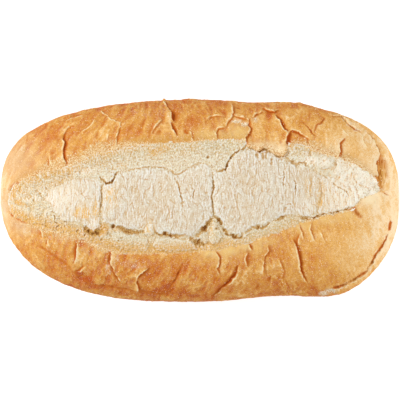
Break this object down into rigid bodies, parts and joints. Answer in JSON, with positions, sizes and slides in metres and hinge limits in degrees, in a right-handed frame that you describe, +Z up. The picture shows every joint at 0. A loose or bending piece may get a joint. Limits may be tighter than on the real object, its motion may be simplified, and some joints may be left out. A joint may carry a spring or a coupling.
{
  "type": "split-top white bread loaf",
  "caption": "Oblong uncut white loaf with a flat base, its golden crust torn open lengthwise over pale, cracked crumb.",
  "frame": {"origin": "centre of the loaf's box on the surface it rests on", "axes": "+X along the loaf, +Y towards its back, +Z up out of the split"},
  "size_m": [0.26, 0.132, 0.0821],
  "materials": {
    "crust": "baked golden-brown crust, softly satin, paler at the ends and along the split, with pale cracked crumb showing in the split"
  },
  "bodies": {
    "root": {"loaf": "crust"}
  },
  "joints": []
}
